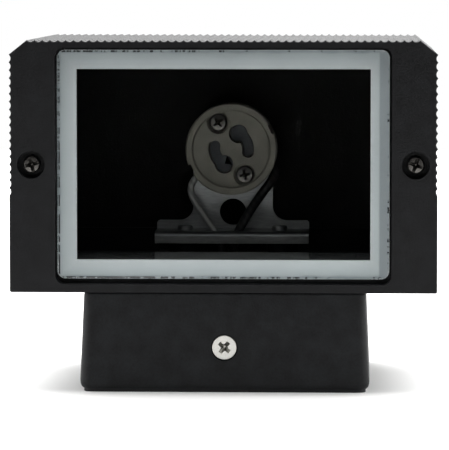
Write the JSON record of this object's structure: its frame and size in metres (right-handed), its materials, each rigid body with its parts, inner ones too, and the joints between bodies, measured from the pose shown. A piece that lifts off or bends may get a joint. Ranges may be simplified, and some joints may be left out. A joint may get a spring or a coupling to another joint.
{
  "type": "outdoor wall luminaire",
  "caption": "Fluted rectangular wall light head with a bonded glass window and an empty two-pin lampholder, on a square base over a wall bracket.",
  "frame": {"origin": "centre of the wall face, where the wall bracket and the foot of the base meet the wall", "axes": "+Z leads away from the wall, -Y is the way the glazed face looks, +X is to the right for someone looking at the glazed face"},
  "size_m": [0.12, 0.1, 0.1],
  "materials": {
    "black_coat": "fine-textured black powder coat on cast aluminium",
    "clear_glass": "clear float glass",
    "grey_silicone": "smooth grey silicone",
    "black_rubber": "matt black rubber",
    "black_nickel": "dark nickel plating",
    "stainless_steel": "bright stainless steel",
    "steatite": "unglazed cream ceramic",
    "zinc_plate": "zinc-plated steel",
    "brass": "plain brass",
    "white_nylon": "moulded natural nylon",
    "white_sleeve": "white heat-resistant sleeve",
    "black_sleeve": "black heat-resistant sleeve",
    "earth_sleeve": "green and yellow insulation"
  },
  "bodies": {
    "wall_bracket": {"wall_bracket": "zinc_plate", "cable_bush": "black_rubber"},
    "luminaire": {"head_housing": "black_coat", "head_gasket": "black_rubber", "base_cover": "black_coat", "wall_gasket": "black_rubber", "head_screw_front_left": "zinc_plate", "head_screw_front_right": "zinc_plate", "head_screw_rear_left": "zinc_plate", "head_screw_rear_right": "zinc_plate", "base_nut_front": "zinc_plate", "base_nut_rear": "zinc_plate", "lampholder_body": "steatite", "lampholder_cap": "steatite", "contact_left": "zinc_plate", "contact_right": "zinc_plate", "lampholder_screw_upper": "black_nickel", "lampholder_screw_lower": "black_nickel", "lampholder_bracket": "zinc_plate", "bracket_screw_left": "zinc_plate", "bracket_screw_right": "zinc_plate", "lead_white": "white_sleeve", "lead_black": "black_sleeve", "lead_earth": "earth_sleeve", "lead_bush": "black_rubber", "terminal_block": "white_nylon", "terminal_block_screw": "zinc_plate", "terminal_screw_1": "brass", "terminal_screw_2": "brass", "terminal_screw_3": "brass", "earth_tag": "brass", "earth_screw": "zinc_plate"},
    "front_frame": {"front_bezel": "black_coat", "glass_pane": "clear_glass", "glass_sealant": "grey_silicone", "front_gasket": "black_rubber"},
    "bezel_screw_left": {"bezel_screw_left": "black_nickel"},
    "bezel_screw_right": {"bezel_screw_right": "black_nickel"},
    "base_screw_front": {"base_screw_front": "stainless_steel"},
    "base_screw_rear": {"base_screw_rear": "stainless_steel"}
  },
  "joints": [
    {"name": "luminaire_lift", "type": "slide", "parent": "wall_bracket", "child": "luminaire", "axis": [0, 0, 1], "range_m": [0, 0.04]},
    {"name": "front_frame_slide", "type": "slide", "parent": "luminaire", "child": "front_frame", "axis": [0, -1, 0], "range_m": [0, 0.06]},
    {"name": "bezel_screw_left_turn", "type": "hinge", "parent": "front_frame", "child": "bezel_screw_left", "pos_m": [-0.0539, -0.0464, 0.0651], "axis": [0, 1, 0], "continuous": true},
    {"name": "bezel_screw_right_turn", "type": "hinge", "parent": "front_frame", "child": "bezel_screw_right", "pos_m": [0.0539, -0.0464, 0.0651], "axis": [0, 1, 0], "continuous": true},
    {"name": "base_screw_front_turn", "type": "hinge", "parent": "luminaire", "child": "base_screw_front", "pos_m": [0, -0.04, 0.0128], "axis": [0, 1, 0], "continuous": true},
    {"name": "base_screw_rear_turn", "type": "hinge", "parent": "luminaire", "child": "base_screw_rear", "pos_m": [0, 0.04, 0.0128], "axis": [0, -1, 0], "continuous": true}
  ]
}
